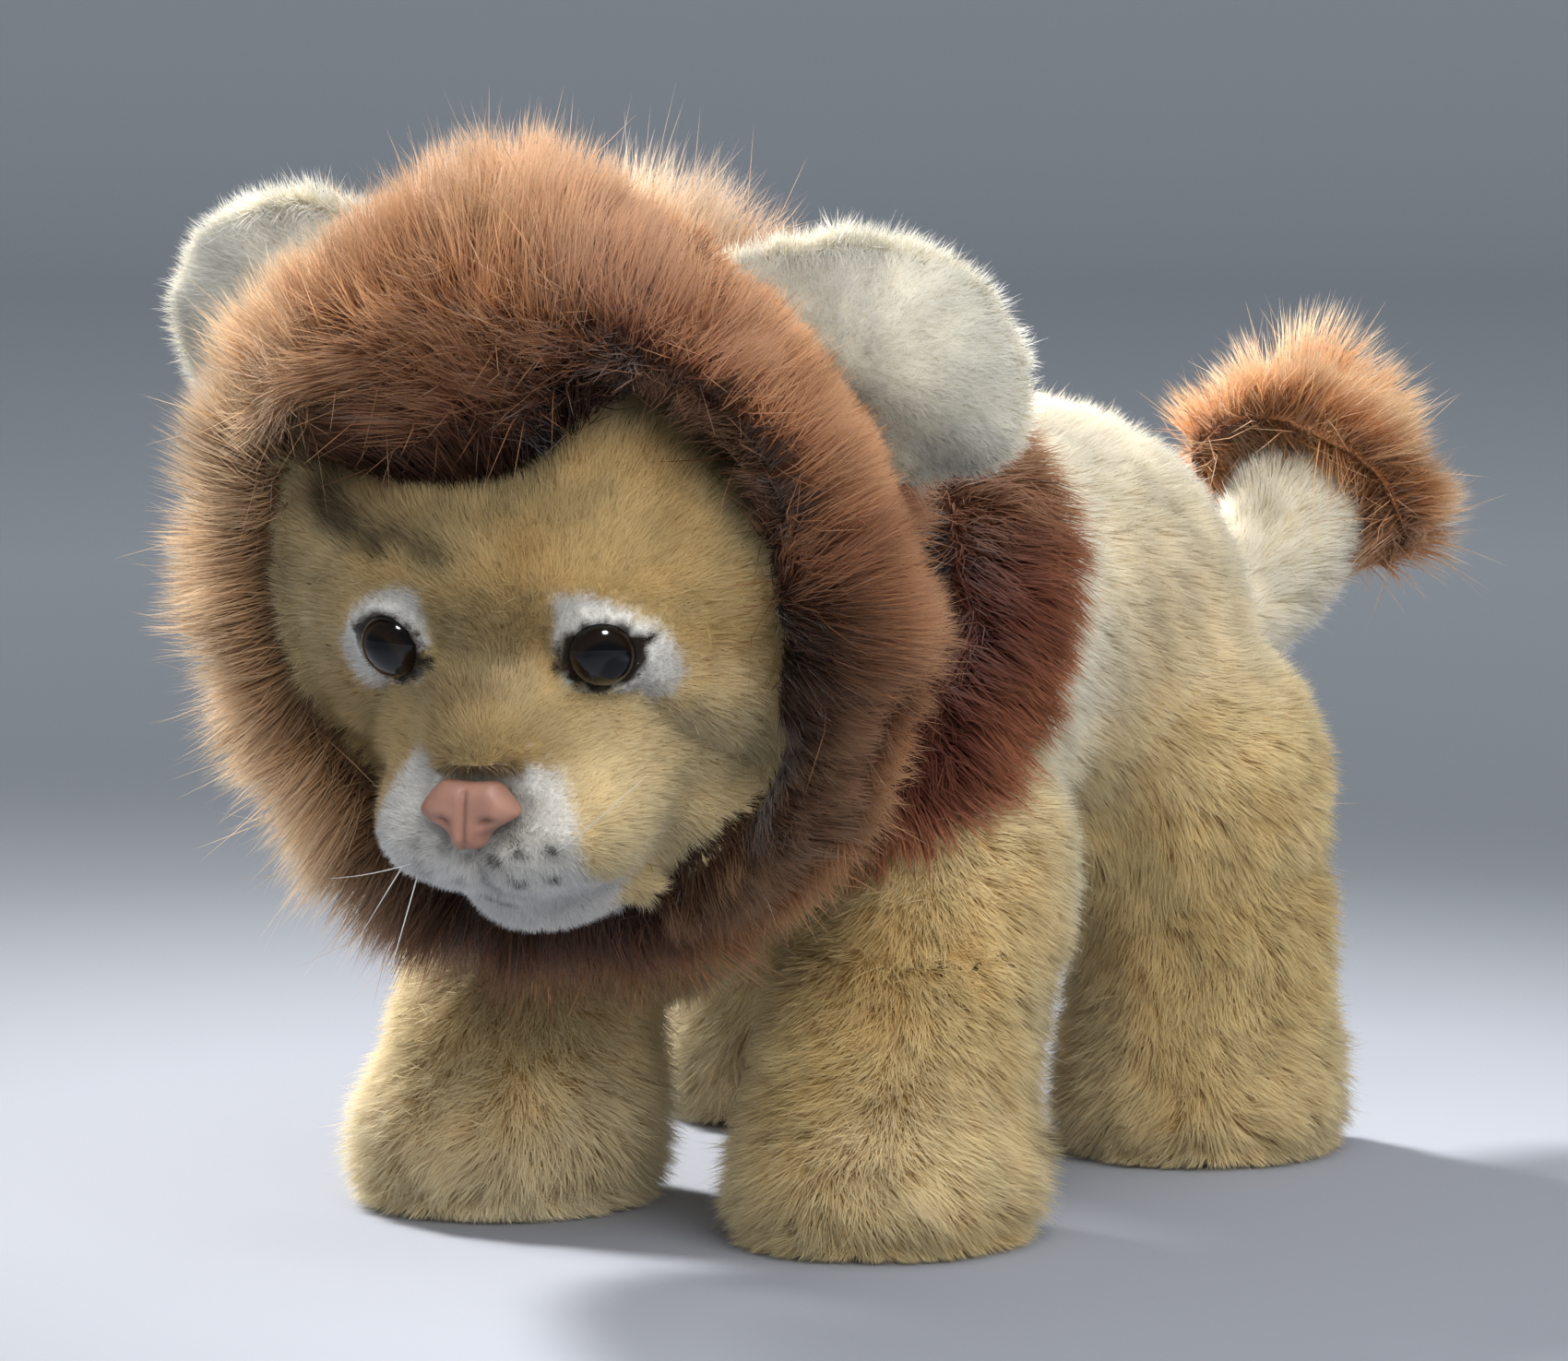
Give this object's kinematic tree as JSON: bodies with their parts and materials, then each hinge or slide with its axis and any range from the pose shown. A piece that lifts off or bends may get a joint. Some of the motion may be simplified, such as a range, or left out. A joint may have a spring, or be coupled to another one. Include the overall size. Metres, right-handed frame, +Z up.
{
  "type": "plush lion toy",
  "caption": "Standing stuffed lion with a long-pile mane, round ears, moulded eyes and nose, stout legs and a tufted tail.",
  "frame": {"origin": "on the ground under the middle of the whole lion at rest", "axes": "+Z up; the lion faces -Y, its tail is towards +Y and its left side is +X"},
  "size_m": [0.12, 0.24, 0.1454],
  "materials": {
    "gold_plush": "matte",
    "cream_plush": "matte",
    "face_plush": "matte",
    "white_plush": "matte",
    "mane_plush": "matte",
    "collar_plush": "matte",
    "tuft_plush": "matte",
    "fibre_filling": "matte",
    "nose_vinyl": "matte",
    "eye_gloss": "gloss",
    "washer_plastic": "matte"
  },
  "bodies": {
    "torso": {"flank_left": "cream_plush", "flank_right": "cream_plush", "belly_panel": "gold_plush", "collar_left": "collar_plush", "collar_right": "collar_plush", "body_filling": "fibre_filling"},
    "neck": {"neck_gusset": "gold_plush"},
    "head": {"face_left": "face_plush", "face_right": "face_plush", "mane_back": "mane_plush", "head_filling": "fibre_filling", "eye_left": "eye_gloss", "eye_washer_left": "washer_plastic", "eye_right": "eye_gloss", "eye_washer_right": "washer_plastic", "nose": "nose_vinyl", "nose_washer": "washer_plastic", "muzzle_left": "white_plush", "muzzle_right": "white_plush", "chin": "white_plush", "eye_patch_left": "white_plush", "eye_patch_right": "white_plush", "mane_crown": "mane_plush", "mane_left": "mane_plush", "mane_beard": "mane_plush", "mane_right": "mane_plush"},
    "ear_left": {"ear_left_front": "white_plush", "ear_left_back": "cream_plush"},
    "ear_right": {"ear_right_front": "white_plush", "ear_right_back": "cream_plush"},
    "tail": {"tail_left_panel": "cream_plush", "tail_right_panel": "cream_plush", "tail_filling": "fibre_filling", "tail_tuft": "tuft_plush"},
    "front_leg_left": {"front_leg_left_outer_panel": "gold_plush", "front_leg_left_inner_panel": "gold_plush", "front_leg_left_sole": "gold_plush", "front_leg_left_filling": "fibre_filling"},
    "front_leg_right": {"front_leg_right_outer_panel": "gold_plush", "front_leg_right_inner_panel": "gold_plush", "front_leg_right_sole": "gold_plush", "front_leg_right_filling": "fibre_filling"},
    "rear_leg_left": {"rear_leg_left_outer_panel": "gold_plush", "rear_leg_left_inner_panel": "gold_plush", "rear_leg_left_sole": "gold_plush", "rear_leg_left_filling": "fibre_filling"},
    "rear_leg_right": {"rear_leg_right_outer_panel": "gold_plush", "rear_leg_right_inner_panel": "gold_plush", "rear_leg_right_sole": "gold_plush", "rear_leg_right_filling": "fibre_filling"}
  },
  "joints": [
    {"name": "neck_turn", "type": "hinge", "parent": "torso", "child": "neck", "pos_m": [-0.00267, -0.06354, 0.096], "axis": [0, 0, 1], "range_deg": [-10, 8], "stiffness_Nm_per_rad": 0.6},
    {"name": "head_nod", "type": "hinge", "parent": "neck", "child": "head", "pos_m": [-0.00267, -0.06354, 0.096], "axis": [0.9848, 0.1736, 0], "range_deg": [-12, 3], "stiffness_Nm_per_rad": 0.6},
    {"name": "ear_left_fold", "type": "hinge", "parent": "head", "child": "ear_left", "pos_m": [0.03204, -0.07336, 0.11751], "axis": [0.5621, 0.3968, -0.7256], "range_deg": [-10, 10], "stiffness_Nm_per_rad": 0.05},
    {"name": "ear_right_fold", "type": "hinge", "parent": "head", "child": "ear_right", "pos_m": [-0.03144, -0.08477, 0.11804], "axis": [0.6766, -0.1742, 0.7154], "range_deg": [-10, 10], "stiffness_Nm_per_rad": 0.05},
    {"name": "tail_swing", "type": "hinge", "parent": "torso", "child": "tail", "pos_m": [-0.00267, 0.05796, 0.069], "axis": [0, 0, 1], "range_deg": [-18, 18], "stiffness_Nm_per_rad": 0.15},
    {"name": "front_leg_left_swing", "type": "hinge", "parent": "torso", "child": "front_leg_left", "pos_m": [0.02733, -0.02904, 0.049], "axis": [1, 0, 0], "range_deg": [-8, 8], "stiffness_Nm_per_rad": 0.6},
    {"name": "front_leg_right_swing", "type": "hinge", "parent": "torso", "child": "front_leg_right", "pos_m": [-0.03267, -0.02904, 0.049], "axis": [1, 0, 0], "range_deg": [-8, 8], "stiffness_Nm_per_rad": 0.6},
    {"name": "rear_leg_left_swing", "type": "hinge", "parent": "torso", "child": "rear_leg_left", "pos_m": [0.03033, 0.03796, 0.053], "axis": [1, 0, 0], "range_deg": [-8, 8], "stiffness_Nm_per_rad": 0.6},
    {"name": "rear_leg_right_swing", "type": "hinge", "parent": "torso", "child": "rear_leg_right", "pos_m": [-0.03567, 0.03796, 0.053], "axis": [1, 0, 0], "range_deg": [-8, 8], "stiffness_Nm_per_rad": 0.6}
  ]
}
